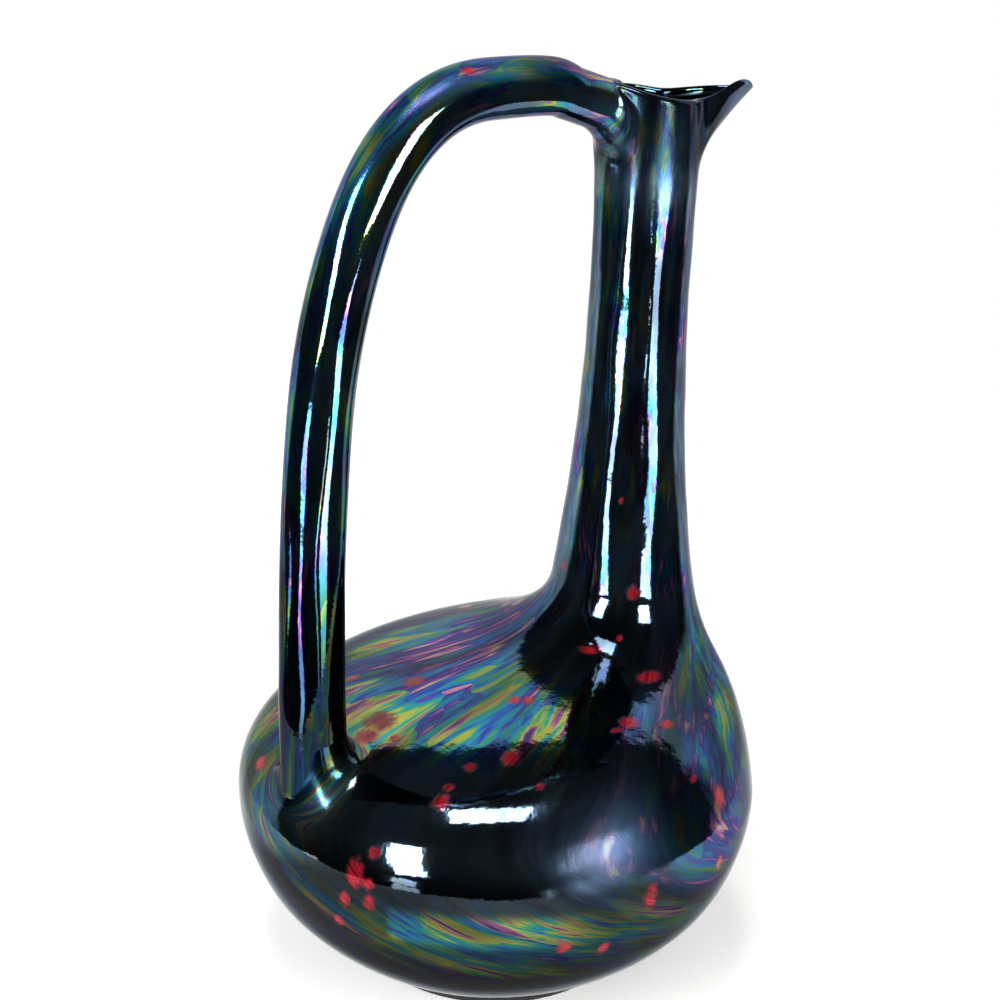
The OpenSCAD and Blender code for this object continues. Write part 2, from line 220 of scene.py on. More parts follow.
def lipRadius(a, z):
    # The neck's radius, flaring to the rim's with a power of the share of height
    return neckRadius(z) + (rimRadius(a) - neckRadius(rimHeight(a))) * lipShare(a, z) ** lip["curl"]


angle = np.linspace(-np.pi, np.pi, v["around"], endpoint=False)[None, :]


def levelRings(z, off=0):
    # Rings at the heights z, as an array of rings by angles by xyz
    z = np.asarray(z, float)[:, None]
    c, r = level(z, off)
    r = r + wobble(angle, z) * (off == 0)
    return np.stack([c + r * np.cos(angle), r * np.sin(angle), z + 0 * angle], -1)


def lipRings(s, depth, lift):
    # Rings at the shares s of the lip's height, moved inward by depth and raised by lift
    s, depth, lift = [np.asarray(k, float)[:, None] for k in (s, depth, lift)]
    z = mix(lipBaseH, rimHeight(angle), s)
    r = lipRadius(angle, z) + wobble(angle, z) - depth
    return np.stack([neckCentre(z) + r * np.cos(angle), r * np.sin(angle), z + lift], -1)


def gridNormals(p):
    # Cross product of the way round and the way along
    along = np.gradient(p, axis=0)
    across = np.roll(p, -1, 1) - np.roll(p, 1, 1)
    return unit(np.cross(across, along) + 1e-12)


def vesselWall():
    # One grid from the foot up the outside, over the rim and down the inside to the floor
    n, t = v["rings"], v["wall"]
    outBowl = levelRings(beside(bowlCurve, np.linspace(0, 1, n["bowl"]), 0)[:, 1])
    shoulderZ = np.concatenate([beside(backCurve, np.linspace(0, 1, n["shoulder"]), 0)[:, 1],
                                np.linspace(backH, neckSeamH, n["seam"])[1:]])
    outShoulder = levelRings(shoulderZ)
    outNeck = levelRings(np.linspace(neckSeamH, lipSeamH, n["neck"])[1:])
    s = np.linspace(0, 1, n["lip"])
    outLip = lipRings(s[:-1], 0 * s[:-1], 0 * s[:-1])
    b = np.linspace(0, np.pi, n["rim"])
    rim = lipRings(1 + 0 * b, lip["rimT"] / 2 * (1 - np.cos(b)), lip["rimT"] / 2 * np.sin(b))
    d = s[::-2][1:]
    inLip = lipRings(d, mix(t, lip["rimT"], d), 0 * d)
    inNeck = levelRings(np.linspace(lipSeamH, neckSeamH, n["inNeck"]), t)
    inShoulder = levelRings(beside(backCurve, np.linspace(1, 0, n["inShoulder"]), -t)[:, 1], t)
    inBowl = levelRings(beside(bowlCurve, np.linspace(1, 0, n["inBowl"]), t)[:, 1], t)
    stretches = [outBowl, outShoulder, outNeck, outLip, rim, inLip, inNeck, inShoulder, inBowl]
    return np.concatenate(stretches), np.cumsum([0] + [len(k) for k in stretches])


wall, marks = vesselWall()
wallNormals = gridNormals(wall)
print("vessel wall:", wall.shape[0], "rings")


# How the glaze was laid on, kept on the mesh for the material to read. The strokes wind round the bowl, climb
# the shoulder and run up the neck: the grid is laid on a tube, turned and stretched along its length.
brush = dict(
    tube=52.0, bowlTurn=3.0, turnSpan=22,
    bowlRise=0.9, shoulderRise=0.42, neckRise=0.7, riseHeights=(95, 120),
    # Amount of film, and how far it turns from steel blue to the rainbow. The small amounts on the lip, the
    # bowl and the bowl's sides darken what they reflect: painted shade. The spout tip's full amount is a
    # painted highlight, the band low on the bowl's front a painted reflection, and the patch thinned on the
    # shoulder's front painted shade.
    front=(0.85, 0.1), side=(0.6, 0.95), top=(1.0, 1.0), neck=(0.95, 0.22), lip=(0.3, 0.45), tip=(1.0, 0.15),
    bowl=(0.13, 0.85), bowlSide=(0.3, 0.9), reflectionBand=(0.45, 1.0), streakTone=0.9, bare=0.85,
    # Where each film lies: angles and spans in degrees, heights in mm, upward slopes
    frontAngle=-134.0, frontSpan=53, bowlTop=((14, 3), (2, -9)), bowlSag=16, neckHeights=(94, 108),
    lipRise=(-4, 8), tipSpan=25, tipRise=(9, 20), topSlope=(0.94, 0.985),
    bareSpan=24, bareHeight=97, bareRise=7,
    reflectionBandAngles=(-149, -118), reflectionBandBlend=(0.02, 0.1, 0.3), reflectionBandHeights=(41, 50.5), reflectionBandSoft=2,
    # Dabs of the far side, how far off the surface a dab may be given, and how deep it reaches
    farSeed=7, farCount=34, farRows=(12, 30), farAngles=(-25, 150), farSizes=(1.6, 4.2),
    dabReach=4, dabDepth=6)
dabs = [  # red enamel, read in the photograph: pixel x and y of its middle, half width and half length in mm
    (633, 594, 3, 3), (588, 649, 4.5, 2), (619, 637, 1.5, 1.5), (648, 677, 5.5, 3), (414, 682, 3.5, 4),
    (380, 722, 6.5, 6), (369, 737, 4.5, 3.5), (395, 737, 2, 2), (514, 700, 2, 2.5), (529, 700, 2, 2.5),
    (628, 722, 3.5, 3.5), (616, 730, 2, 1.5), (667, 725, 3, 2), (510, 758, 3.5, 4.5), (469, 767, 2.5, 2.5),
    (541, 787, 1.5, 2), (442, 801, 3.5, 3.5), (448, 789, 2, 2), (694, 779, 2, 1.5), (719, 798, 3, 5),
    (354, 872, 3.5, 5.5), (375, 853, 2.5, 2.5), (367, 884, 2, 2.5), (367, 904, 2, 3), (345, 901, 2, 3),
    (338, 920, 2, 2.5), (650, 896, 2.5, 5), (564, 949, 2.5, 2.5), (603, 949, 2, 3), (719, 863, 2, 3),
    (261, 763, 3.5, 3), (621, 971, 1.5, 1.5), (564, 564, 1.5, 1.5), (622, 498, 1, 1.5)]
satins = [  # x, y, z, spread and strength of the duller places
    (-17.0, -70.5, 62.0, 14.0, 1.0), (-68.0, -9.0, 74.0, 8.0, 0.7), (40.0, -13.2, 236.0, 14.0, 0.85)]


def placeOn(points, normals, marked):
    # Each pixel becomes the point that shows there: of those facing the camera, the nearest in the picture.
    # A point lies there at half the frame + focal length * side / depth.
    right, up, forward, eye = cameraAxes(camera)
    away = points.reshape(-1, 3) - eye
    depth = away @ forward
    half, focal = camera["frame"] / 2, camera["frame"] * camera["lens"] / camera["sensor"]
    x, y = half + focal * (away @ right) / depth, half - focal * (away @ up) / depth
    hidden = np.where((away * normals.reshape(-1, 3)).sum(1) < 0, 0, np.inf)
    nearest = [np.argmin(np.hypot(x - mark[0], y - mark[1]) + hidden) for mark in marked]
    return [(*(eye + away[i]), *mark[2:]) for i, mark in zip(nearest, marked)]


shownDabs = placeOn(wall[:marks[4]], wallNormals[:marks[4]], dabs)


def farDabs(count):
    # The side that the photograph does not show gets dabs of the same sizes at random places
    rng = np.random.default_rng(brush["farSeed"])
    first, last = brush["farRows"]
    row = rng.integers(first, marks[2] - last, count)
    a = np.radians(rng.uniform(*brush["farAngles"], count))
    p = wall[row, np.round((a + np.pi) / (2 * np.pi) * v["around"]).astype(int) % v["around"]]
    return [tuple(q) + tuple(s) for q, s in zip(p, rng.uniform(*brush["farSizes"], (count, 2)))]


def dabField(points, normals, every):
    # For each dab near the surface: 1 - distance, counted in its half width, its half length and its depth
    p, n = points.reshape(-1, 3), normals.reshape(-1, 3)
    field = np.zeros(len(p))
    for x, y, z, halfWidth, halfLength in every:
        d = p - [x, y, z]
        nearest = np.argmin((d * d).sum(1))
        if np.linalg.norm(d[nearest]) > brush["dabReach"]:
            continue
        d = p - p[nearest]
        normal = n[nearest]
        across = unit(np.cross([0, 0, 1.0], normal))
        along = np.cross(normal, across)
        far = (d @ across / halfWidth) ** 2 + (d @ along / halfLength) ** 2
        far = far + (d @ normal / brush["dabDepth"]) ** 2
        field = np.maximum(field, 1 - np.sqrt(far))
    return field.reshape(points.shape[:-1])


def satinField(points):
    # A bell round each duller place: strength * exp(-(distance / spread)^2)
    k = np.array(satins)
    p = points[..., None, :] - k[:, :3]
    return (k[:, 4] * np.exp(-(p * p).sum(-1) / k[:, 3] ** 2)).max(-1)


def arcLength(p):
    # Mean length along the rings, added up from the first
    step = np.linalg.norm(np.diff(p, axis=0), axis=2).mean(1)
    return np.concatenate([[0], np.cumsum(step)])


def strokeRows():
    # For each ring: how far the tube is turned, and how far along it the ring lies
    z = wall[:, :, 2].mean(1)
    step = np.diff(arcLength(wall), prepend=0)
    upper = smooth(bellyH - brush["turnSpan"], bellyH + brush["turnSpan"], z)
    rise = mix(brush["bowlRise"], brush["shoulderRise"], upper)
    rise = mix(rise, brush["neckRise"], smooth(*brush["riseHeights"], z))
    turn = np.cumsum(step * brush["bowlTurn"] / bodyR * (1 - upper))
    return turn, np.cumsum(step * rise)


strokeTurn, strokeLength = strokeRows()


def onTube(a, turn, length):
    # A point of the tube at the angle a + turn and at that length
    r = brush["tube"]
    return np.stack([r * np.cos(a + turn), r * np.sin(a + turn), length + 0 * a], -1)


def roundWall(p):
    # Angle round the vessel's own axis at each point's height
    z = p[..., 2]
    return np.arctan2(p[..., 1], p[..., 0] - np.where(z > neckSeamH, neckCentre(z), level(z)[0]))


def wallStrokes(p):
    # Stroke coordinates of points that lie near the outside of the wall
    a, z = roundWall(p), p[..., 2]
    rowZ = wall[:marks[4], :, 2].mean(1)
    z = np.where(z > lipBaseH, mix(lipBaseH, rowZ[-1], lipShare(a, z)), z)
    return onTube(a, np.interp(z, rowZ, strokeTurn[:marks[4]]), np.interp(z, rowZ, strokeLength[:marks[4]]))


def streaks(a, z):
    # Where the film turns to strong colour, 0 to 1: the product of two slow waves that cross
    return smooth(0.0, 0.5, np.sin(z / 6 + 3 * a) * np.sin(z / 11 - 2 * a + 1))


def filmAt(a, z, up):
    # Both values of the film, blended by the angle, the height and the upward slope
    b = brush
    off = np.degrees(np.arccos(np.cos(a - np.radians(b["frontAngle"]))))
    side = 1 - np.exp(-(off / b["frontSpan"]) ** 4)
    # More film in a band low on the bowl's front: a painted reflection.
    (a0, a1), (z0, z1) = np.radians(b["reflectionBandAngles"]), b["reflectionBandHeights"]
    sharp, before, after = b["reflectionBandBlend"]
    soft = b["reflectionBandSoft"]
    inReflectionBand = smooth(a0 - sharp, a0 + sharp, a) * smooth(a1 + after, a1 - before, a)
    inReflectionBand = inReflectionBand * smooth(z0 - soft, z0 + soft, z) * smooth(z1 + soft, z1 - soft, z)
    # The spout's tip takes more film, which brightens it: a painted highlight.
    tipAngle = np.radians(lip["spoutTurn"] + lip["tipTurn"])
    tip = bump(a - tipAngle, 0, b["tipSpan"]) * smooth(*b["tipRise"], z - lipBaseH)
    # Less film in a patch on the shoulder's front, which dims the lamps' reflections there: painted shade.
    bare = b["bare"] * np.exp(-(off / b["bareSpan"]) ** 2 - ((z - b["bareHeight"]) / b["bareRise"]) ** 2)
    onNeck = smooth(*b["neckHeights"], z)
    both = []
    for k in (0, 1):
        film = mix(b["front"][k], b["side"][k], side) + 0 * z
        # The bowl's small film darkens its reflection of the table: painted shade.
        bowl = mix(b["bowl"][k], b["bowlSide"][k], side)
        film = mix(film, bowl, smooth(*b["bowlTop"][k], z - bellyH + b["bowlSag"] * side))
        film = mix(film, b["neck"][k], onNeck)
        film = mix(film, np.maximum(film, b["streakTone"]), k * streaks(a, z) * onNeck)
        # The lip's small film darkens its reflections: painted shade.
        film = mix(film, b["lip"][k], smooth(*b["lipRise"], z - lipBaseH))
        film = mix(film, b["tip"][k], tip) * (1 - (1 - k) * bare)
        film = mix(film, b["top"][k], smooth(*b["topSlope"], up))
        both.append(mix(film, b["reflectionBand"][k], inReflectionBand))
    return both


allDabs = shownDabs + farDabs(brush["farCount"])
wallFilm = filmAt(angle, wall[..., 2], wallNormals[..., 2])
wallDab = dabField(wall, wallNormals, allDabs)
wallSatin = satinField(wall)
for field, inside in zip([*wallFilm, wallDab, wallSatin], (0, 0, 0, 1)):
    field[marks[5]:] = inside  # the inside has no film and no clear gloss, so it is black: a plain dull glaze, and painted shade in the hollow
wallPaint = [onTube(angle, strokeTurn[:, None], strokeLength[:, None]), *wallFilm, wallDab, wallSatin]
print("vessel paint:", len(allDabs), "dabs")


def meshPiece(name, rings, normals=None, flatRows=(), loop=False, poles=(None, None), paint=None):
    # A grid of rings as quads, closed along the rings if loop is set, with a fan to each pole
    m, n = rings.shape[:2]
    points = [rings.reshape(-1, 3)] + [np.asarray(p, float)[None] for p in poles if p is not None]
    points = np.concatenate(points)
    rows = np.arange(m if loop else m - 1)[:, None]
    j = np.arange(n)[None, :]
    k, up = (j + 1) % n, (rows + 1) % m
    quads = np.stack([rows * n + j, rows * n + k, up * n + k, up * n + j], -1).reshape(-1, 4)
    flat = np.isin(np.repeat(np.arange(len(rows)), n), list(flatRows))
    tris = [np.zeros((0, 3), int)]
    if poles[0] is not None:
        tris.append(np.stack([np.full(n, m * n), k[0], j[0]], -1))
    if poles[1] is not None:
        tris.append(np.stack([(m - 1) * n + j[0], (m - 1) * n + k[0], np.full(n, len(points) - 1)], -1))
    tris = np.concatenate(tris)
    mesh = bpy.data.meshes.new(name)
    mesh.from_pydata((points * mm).tolist(), [], quads.tolist() + tris.tolist())
    mesh.polygons.foreach_set("use_smooth", np.ones(len(mesh.polygons), bool))
    if normals is not None:
        corner = normals.reshape(-1, 3)[quads]
        p = points[quads]
        square = unit(np.cross(p[:, 2] - p[:, 0], p[:, 3] - p[:, 1]) + 1e-12)
        corner[flat] = square[flat][:, None, :]
        p = points[tris]
        cap = unit(np.cross(p[:, 1] - p[:, 0], p[:, 2] - p[:, 0]) + 1e-12)
        mesh.normals_split_custom_set(np.concatenate([corner.reshape(-1, 3), np.repeat(cap, 3, 0)]).tolist())
    for label, data in zip(("brush", "lustre", "tone", "dab", "satin"), paint or ()):
        values = data.reshape(m * n, -1)
        values = np.concatenate([values, np.repeat(values[-1:], len(points) - m * n, 0)]).astype(np.float32)
        isVector = values.shape[1] == 3
        layer = mesh.attributes.new(label, "FLOAT_VECTOR" if isVector else "FLOAT", "POINT")
        layer.data.foreach_set("vector" if isVector else "value", values.ravel())
    piece = bpy.data.objects.new(name, mesh)
    bpy.context.scene.collection.objects.link(piece)
    return piece


def wallPiece(name, pick, flatRows):
    # A stretch of wall: its outside rings, a level cut, its inside rings and a level cut
    return meshPiece(name, wall[pick], wallNormals[pick], flatRows, True, paint=[k[pick] for k in wallPaint])


def stretchOf(name, out, inside):
    pick = np.concatenate([np.arange(*out), np.arange(*inside)])
    return wallPiece(name, pick, (out[1] - out[0] - 1, len(pick) - 1))


# Stretches share the ring of their seam, so that the glaze runs on from piece to piece
shoulderShell = stretchOf("shoulderShell", (marks[1] - 1, marks[2]), (marks[7], marks[8] + 1))
neckTube = stretchOf("neckTube", (marks[2] - 1, marks[3]), (marks[6], marks[7] + 1))
lipRows = np.arange(marks[3] - 1, marks[6] + 1)
pouringLip = wallPiece("pouringLip", lipRows, (len(lipRows) - 1,))


def bowlPiece():
    # The underside, the outside up to the belly, a level cut, and the inside down to the floor
    under = np.linspace(0.25, 1, 4)[:-1, None, None] * (wall[:1] * [1, 1, 0]) + [0, 0, v["baseH"]]
    pick = np.concatenate([np.arange(0, marks[1]), np.arange(marks[8], marks[9])])
    rings = np.concatenate([under, wall[pick]])
    normals = np.concatenate([0 * under + [0, 0, -1.0], wallNormals[pick]])
    paint = [np.concatenate([np.repeat(k[:1], 3, 0), k[pick]]) for k in wallPaint]
    poles = ((0, 0, v["baseH"]), (0, 0, wall[-1, 0, 2]))
    return meshPiece("lowerBowl", rings, normals, (0, 1, 2, 3 + marks[1] - 1), False, poles, paint)


lowerBowl = bowlPiece()
print("vessel pieces made")


# The pulled handle: a round bar along two cubic curves, worked out to the wall with a fillet at each end
handle = dict(
    d=17.2, endD=14.5, footGain=1, footRise=20.5, footLean=0, footLift=7, sideSweep=71,
    topRise=7.5, topBack=54, archSweep=54, fallSweep=24, topShare=0.8,
    endSlope=20, endSweep=6, endLift=8, endDrop=-1.2,
    # Fillets: radius terms and where they change round the bar, then the rings that go under the wall
    footFillet=(2.3, 6, 2), footBlend=(-1.05, -0.3), endFillet=(0.3, 3.3, 4.4), endBlend=(-1, 0.1),
    underWall=(1.05, 1.12, 1.2), footSunk=(0.03, 0.15, 1.2), endSunk=(0.02, 0.12, 0.5),
    bodyReach=36.0, lipReach=22.0, halvings=30,
    sides=112, sideRings=150, fallRings=60, filletSteps=18, evenEnd=12,
    # Glaze: the strokes' tube, the film of the outer, lower and inner sides, and the dull top. The lower
    # side's small film darkens its reflections: painted shade.
    tube=12.0, tubeX=30, rise=0.45, mergeSpan=(0.1, 0.85),
    outer=(0.95, 0.9), low=(0.2, 0.9), inner=(0.8, 0.2), outerAngle=160, outerSpan=75, lowTop=(72, 98),
    dull=0.75, dullSlope=(0.25, 0.8), dullRise=(90, 150),
    topDab=(470, 70, 2, 2))  # as in the list of dabs
h = handle


def levelOff(p):
    # Level distance outside the body
    c, r = level(p[:, 2])
    return np.hypot(p[:, 0] - c, p[:, 1]) - r - wobble(np.arctan2(p[:, 1], p[:, 0] - c), p[:, 2])


def offWall(p, onLip):
    # Distance outside the body, level and then over its slope, or outside the lip and the round of its rim
    z = p[:, 2]
    if not onLip:
        step = np.array([0, 0, 0.3])
        return levelOff(p) / np.hypot(1, (levelOff(p + step) - levelOff(p - step)) / 0.6)
    x = p[:, 0] - neckCentre(z)
    a = np.arctan2(p[:, 1], x)
    off = np.hypot(x, p[:, 1]) - lipRadius(a, z) - wobble(a, z)
    rise = z - rimHeight(a)
    half = lip["rimT"] / 2
    return np.where(rise > 0, np.hypot(np.maximum(off + half, 0), rise) - half, off)


def land(p, way, gap, onLip):
    # Each point carried along way until it lies gap outside the wall, by halving
    lo, hi = np.zeros(len(p)), np.full(len(p), h["lipReach"] if onLip else h["bodyReach"])
    for step in range(h["halvings"]):
        half = (lo + hi) / 2
        outside = offWall(p + half[:, None] * way, onLip) > gap
        lo, hi = np.where(outside, half, lo), np.where(outside, hi, half)
    return p + hi[:, None] * way


def handleCurves():
    # The centre line in the XZ plane: straight up off the shoulder, two cubics, straight down on to the lip
    (backZ, backX), _ = edges[0]
    footZ = bellyH + h["footRise"]
    leanOut, slope = np.radians([h["footLean"], h["endSlope"]])
    footWay = np.array([-np.sin(leanOut), np.cos(leanOut)])
    footC = np.array([np.interp(footZ, backZ, backX), footZ]) + (h["d"] / 2 + h["footLift"]) * footWay
    edgeZ = v["rimH"] + lip["backLift"] + lip["rimT"] / 2 - h["endDrop"]
    endWay = np.array([np.cos(slope), -np.sin(slope)])
    endC = (np.array([neckCentre(edgeZ) - lipRadius(np.pi, edgeZ), edgeZ])
            - h["endD"] / 2 * np.array([-endWay[1], endWay[0]]) - h["endLift"] * endWay)
    top = np.array([bodyR - v["neckInset"] - h["topBack"], v["rimH"] + h["topRise"]])
    side = [footC, footC + h["sideSweep"] * footWay, top - [h["archSweep"], 0], top]
    fall = [top, top + [h["fallSweep"], 0], endC - h["endSweep"] * endWay, endC]
    return side, fall, footWay, endWay


sideCurve, fallCurve, footWay, endWay = handleCurves()
turnAngle = np.linspace(-np.pi, np.pi, h["sides"], endpoint=False)


def handleRadius(u):
    # Widest at the foot and tapering late toward the lip
    return mix(h["d"], h["endD"], u ** 4) / 2 + h["footGain"] / 2 * (1 - u) ** 8


def barRings(c, way, r):
    # Circles of radius r square to the way, as rings by angles by xyz; angle 0 is the hollow of the loop
    c, way = c[:, None, :], way[:, None, :]
    x = c[..., 0] + r * np.cos(turnAngle) * way[..., 1]
    z = c[..., 1] - r * np.cos(turnAngle) * way[..., 0]
    return np.stack([x, r * np.sin(turnAngle) + 0 * x, z], -1)


def filletRings(c, way, r, k, inward, sunk, onLip):
    # A round fillet of radius k: k(1-cos f) out from the bar and k(1-sin f) off the wall, then sunk under it
    f = np.radians(np.linspace(0, 90, h["filletSteps"]))[:, None]
    out = np.concatenate([k * (1 - np.cos(f)), [share * k for share in h["underWall"]]])
    gap = np.concatenate([k * (1 - np.sin(f)), [0 * k - s for s in sunk]])
    to = np.array([inward[0], 0, inward[1]])
    return np.stack([land(barRings(c[None], way[None], r + o)[0], to, g, onLip) for o, g in zip(out, gap)])


def handlePiece():
    # Fillet at the foot, the bar with a pulled unevenness of two sines, and fillet at the lip
    side, fall = np.linspace(0, 1, h["sideRings"]), np.linspace(0, 1, h["fallRings"])[1:]
    c = np.concatenate([bezier(sideCurve, side), bezier(fallCurve, fall)])
    way = np.concatenate([bezierWay(sideCurve, side), bezierWay(fallCurve, fall)])
    r = handleRadius(np.concatenate([h["topShare"] * side, mix(h["topShare"], 1, fall)]))
    along = np.concatenate([[0], np.cumsum(np.linalg.norm(np.diff(c, axis=0), axis=1))])[:, None]
    uneven = 0.13 * np.sin(3 * turnAngle + along / 14) + 0.08 * np.sin(5 * turnAngle - along / 9)
    uneven = uneven * smooth(0, h["evenEnd"], along) * smooth(0, h["evenEnd"], along[-1] - along)
    bar = barRings(c, way, r[:, None] + uneven)
    inner = np.cos(turnAngle)
    least, gain, less = h["footFillet"]
    footK = least + gain * smooth(*h["footBlend"], inner) - less * np.maximum(inner, 0) ** 2
    least, gain, more = h["endFillet"]
    endK = least + gain * smooth(*h["endBlend"], inner) + more * np.maximum(inner, 0) ** 2
    foot = filletRings(c[0], footWay, r[0], footK, -footWay, h["footSunk"], False)
    end = filletRings(c[-1], endWay, r[-1], endK, endWay, h["endSunk"], True)
    rings = np.concatenate([foot[::-1], bar, end])
    # The strokes run along the bar, and turn into those of the wall on each fillet
    length = arcLength(rings)[:, None]
    coords = np.stack([h["tubeX"] + h["tube"] * np.cos(turnAngle) + 0 * length,
                       h["tube"] * np.sin(turnAngle) + 0 * length, h["rise"] * length + 0 * turnAngle], -1)
    merge = np.concatenate([np.linspace(1, 0, len(foot)), np.zeros(len(bar)), np.linspace(0, 1, len(end))])
    merge = smooth(*h["mergeSpan"], merge)[:, None, None]
    coords = mix(coords, wallStrokes(rings), merge)
    off = np.degrees(np.arccos(np.cos(turnAngle - np.radians(h["outerAngle"]))))
    outer = np.exp(-(off / h["outerSpan"]) ** 4)
    up = rings[..., 2] - bellyH
    high = smooth(*h["lowTop"], up)
    normals = gridNormals(rings)
    # The small film low on the bar darkens its reflections: painted shade.
    both = [mix(h["low"][k], mix(h["inner"][k], h["outer"][k], outer), high) for k in (0, 1)]
    both[1] = mix(both[1], np.maximum(both[1], brush["streakTone"]), streaks(turnAngle, length))
    onWall = filmAt(roundWall(rings), rings[..., 2], normals[..., 2])
    both = [mix(both[k], onWall[k], merge[..., 0]) for k in (0, 1)]
    dull = h["dull"] * smooth(*h["dullSlope"], normals[..., 2]) * smooth(*h["dullRise"], up)
    dab = dabField(rings, normals, shownDabs + placeOn(rings, normals, [h["topDab"]]))
    paint = [coords, *both, dab, np.maximum(satinField(rings), dull)]
    poles = (foot[-1].mean(0), end[-1].mean(0) - [v["wall"] / 2, 0, 0])  # both lie hidden in the wall
    return meshPiece("loopHandle", rings, poles=poles, paint=paint)


loopHandle = handlePiece()
print("handle made")


# The turned foot ring, with rounded edges
foot = dict(d=78, h=3.6, w=7, bevel=0.8, soften=0.1, inset=0.05, cornerSteps=6)


def footPiece():
    # A rounded rectangle carried round the axis
    outR, inR = foot["d"] / 2 - foot["inset"], foot["d"] / 2 - foot["w"]
    b, e = foot["bevel"], foot["soften"]
    q = np.linspace(0, np.pi / 2, foot["cornerSteps"])
    corners = [(outR - b, b, b, -np.pi / 2), (outR - e, foot["h"] - e, e, 0.0),
               (inR + e, foot["h"] - e, e, np.pi / 2), (inR + b, b, b, np.pi)]
    profile = np.concatenate([np.stack([x + r * np.cos(q + start), z + r * np.sin(q + start)], -1)
                              for x, z, r, start in corners])
    p = profile[:, None, :]
    rings = np.stack([p[..., 0] * np.cos(angle), p[..., 0] * np.sin(angle), p[..., 1] + 0 * angle], -1)
    return meshPiece("footRing", rings, loop=True)


footRing = footPiece()
print("foot made")


# Materials
def linear(text):
    # sRGB hex to linear light
    c = np.array([int(text[i:i + 2], 16) for i in (1, 3, 5)]) / 255
    return tuple(np.where(c <= 0.04045, c / 12.92, ((c + 0.055) / 1.055) ** 2.4)) + (1.0,)


def addNode(tree, kind, settings=None, sockets=None):
    # One shader node of that kind with its settings; a socket's value is either a link or a constant
    made = tree.nodes.new("ShaderNode" + kind)
    for key, value in (settings or {}).items():
        setattr(made, key, value)
    for key, value in (sockets or {}).items():
        if isinstance(value, bpy.types.NodeSocket):
            tree.links.new(value, made.inputs[key])
        else:
            made.inputs[key].default_value = value
    return made


def startMaterial(name):
    made = bpy.data.materials.new(name)
    made.use_nodes = True
    made.node_tree.nodes.clear()
    return made, made.node_tree


# Lustre-glazed earthenware: a fused metal film brushed over dark glaze. It gives a near-black mirror that
# takes interference colours in leaf-like strokes where it meets the light, red enamel dabs, and a clear gloss
# that goes with the film.
lustre = dict(  # sizes in mm, turns in whole rounds of the film's colours
    sway=11.0, swaySize=26.0, hair=0.6, hairSize=2.0, hairStretch=0.3, hairRange=(0.3, 0.7),
    stroke=11.0, strokeTurn=0.45, strokeThin=0.55, smallStroke=6.5, smallTurn=0.22, smallThin=0.25,
    broadSize=45.0, broadTurn=0.9, drift=(-0.15, 0.45),
    patchSize=16.0, patchRange=(0.36, 0.62), patchAmount=(0.3, 1.2), lineAmount=(0.65, 1.2),
    film=[(0.0, "#c3c436"), (0.08, "#93b858"), (0.18, "#2ba074"), (0.33, "#1488a6"), (0.48, "#1559b0"),
          (0.58, "#1c2f7c"), (0.66, "#55338f"), (0.76, "#a2559c"), (0.88, "#bd8d8c"), (1.0, "#c3c436")],
    steel="#5a6f8a", edge="#96999e", redDark="#560a14", redLight="#a61d2c", redMetal=0.5, dullMetal=0.4,
    gritSize=1.6, ragged=0.8, dabEdge=(0.3, 1.05), dabFade=0.15, dabStreak=(0.3, 0.62),
    gloss=0.06, satin=0.36, coat=(0.1, 0.5), rippleSize=6.0, grainSize=0.7, dabRise=0.15, grainRise=0.35,
    relief=0.3, reliefDepth=0.3)


